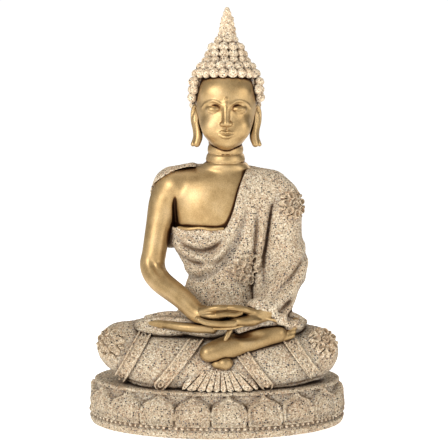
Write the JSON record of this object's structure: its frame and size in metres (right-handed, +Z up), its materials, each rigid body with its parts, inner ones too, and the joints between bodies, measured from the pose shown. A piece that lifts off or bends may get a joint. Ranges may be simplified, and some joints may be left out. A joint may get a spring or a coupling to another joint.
{
  "type": "buddha statue",
  "caption": "Seated meditating figure in a draped robe on an oval lotus plinth, in sandstone resin with bronze-gold painted skin.",
  "frame": {"origin": "centre of the plinth's underside, on the plane that the statue rests on", "axes": "+Z up, -Y the way the figure faces, +X towards the figure's left"},
  "size_m": [0.108, 0.07, 0.175],
  "materials": {
    "sandstone_resin": "matte",
    "bronze_gold_paint": "satin",
    "felt": "matte"
  },
  "bodies": {
    "root": {"felt_pad": "felt", "lotus_base": "sandstone_resin", "lotus_petals": "sandstone_resin", "base_beads": "sandstone_resin", "left_leg": "sandstone_resin", "right_leg": "sandstone_resin", "neck": "bronze_gold_paint", "torso": "bronze_gold_paint", "head": "bronze_gold_paint", "urna": "bronze_gold_paint", "finial": "sandstone_resin", "ushnisha": "sandstone_resin", "hair_cap": "sandstone_resin", "hair_curls": "sandstone_resin", "ushnisha_curls": "sandstone_resin", "left_ear": "bronze_gold_paint", "right_ear": "bronze_gold_paint", "right_upper_arm": "bronze_gold_paint", "right_forearm": "bronze_gold_paint", "right_hand": "bronze_gold_paint", "left_hand": "bronze_gold_paint", "left_sleeve": "sandstone_resin", "robe": "sandstone_resin", "shoulder_cape": "sandstone_resin", "right_foot": "bronze_gold_paint", "left_foot": "bronze_gold_paint", "left_heel": "bronze_gold_paint", "fan_pleats": "sandstone_resin", "right_outer_band": "sandstone_resin", "right_inner_band": "sandstone_resin", "left_inner_band": "sandstone_resin", "left_outer_band": "sandstone_resin", "shoulder_rosette": "sandstone_resin", "chest_rosette": "sandstone_resin", "right_knee_rosette": "sandstone_resin", "left_knee_rosette": "sandstone_resin"}
  },
  "joints": []
}
